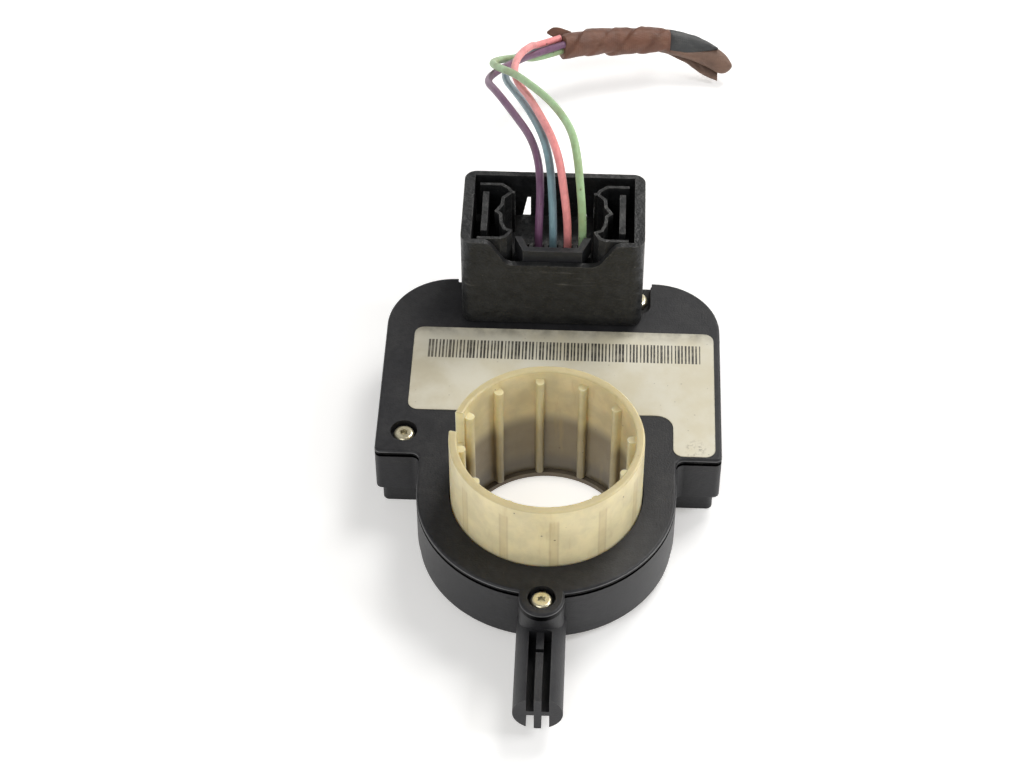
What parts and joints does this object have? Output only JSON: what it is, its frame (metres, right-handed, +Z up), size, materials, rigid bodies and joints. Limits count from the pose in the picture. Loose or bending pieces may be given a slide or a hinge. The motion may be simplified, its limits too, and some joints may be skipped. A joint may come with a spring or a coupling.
{
  "type": "steering angle sensor",
  "caption": "Flat moulded sensor casing with a ribbed collar that turns with a steering shaft, an anti-rotation peg, and a plug with thin taped wires.",
  "frame": {"origin": "on the axis of the rotor collar, in the plane of the casing's foot", "axes": "+Z up along the rotor collar's axis, +Y from the ring towards the plug, +X to the right seen from the peg"},
  "size_m": [0.09, 0.237, 0.0631],
  "materials": {
    "casing_black": "fine matt moulding grain",
    "collar_cream": "slightly translucent, satin",
    "gear_white": "satin",
    "magnet_dark": "dull sintered",
    "board_green": "solder mask",
    "chip_black": "moulded",
    "crystal_can": "bright can",
    "capacitor_tan": "ceramic",
    "resistor_dark": "ceramic",
    "socket_black": "moulded",
    "pin_tin": "tin plated",
    "plug_black": "satin moulding",
    "retainer_grey": "satin moulding",
    "wire_purple": "soft insulation, dusty",
    "wire_blue": "soft insulation, dusty",
    "wire_pink": "soft insulation, dusty",
    "wire_green": "soft insulation, dusty",
    "tape_brown": "cloth tape, dusty",
    "sleeve_grey": "matt sleeve",
    "screw_zinc": "yellowish zinc plate",
    "label_white": "worn paper-like film"
  },
  "bodies": {
    "casing": {"top_cover": "casing_black", "lower_housing": "casing_black", "circuit_board": "board_green", "field_sensor_chips": "chip_black", "microcontroller": "chip_black", "bus_transceiver": "chip_black", "quartz_crystal": "crystal_can", "voltage_regulator": "chip_black", "chip_capacitors": "capacitor_tan", "chip_resistors": "resistor_dark", "board_socket": "socket_black", "contact_pins": "pin_tin", "plug_housing": "plug_black", "plug_retainer": "retainer_grey", "wire_terminals": "pin_tin", "wire_purple": "wire_purple", "wire_blue": "wire_blue", "wire_pink": "wire_pink", "wire_green": "wire_green", "tape_wrap": "tape_brown", "cable_sleeve": "sleeve_grey", "tape_tail": "tape_brown", "cover_screws": "screw_zinc", "type_label": "label_white"},
    "rotor": {"rotor_collar": "collar_cream"},
    "gear_a": {"measuring_gear_a": "gear_white", "magnet_a": "magnet_dark"},
    "gear_b": {"measuring_gear_b": "gear_white", "magnet_b": "magnet_dark"}
  },
  "joints": [
    {"name": "rotor_turn", "type": "hinge", "parent": "casing", "child": "rotor", "pos_m": [0, 0, 0.02], "axis": [0, 0, 1], "continuous": true},
    {"name": "gear_a_turn", "type": "hinge", "parent": "casing", "child": "gear_a", "pos_m": [-0.01895, 0.02919, 0.01], "axis": [0, 0, 1], "continuous": true},
    {"name": "gear_b_turn", "type": "hinge", "parent": "casing", "child": "gear_b", "pos_m": [0.01863, 0.02868, 0.01], "axis": [0, 0, 1], "continuous": true}
  ],
  "couplings": [
    {"joint": "gear_a_turn", "follows": "rotor_turn", "ratio": -2.8667},
    {"joint": "gear_b_turn", "follows": "rotor_turn", "ratio": -3.0714}
  ]
}
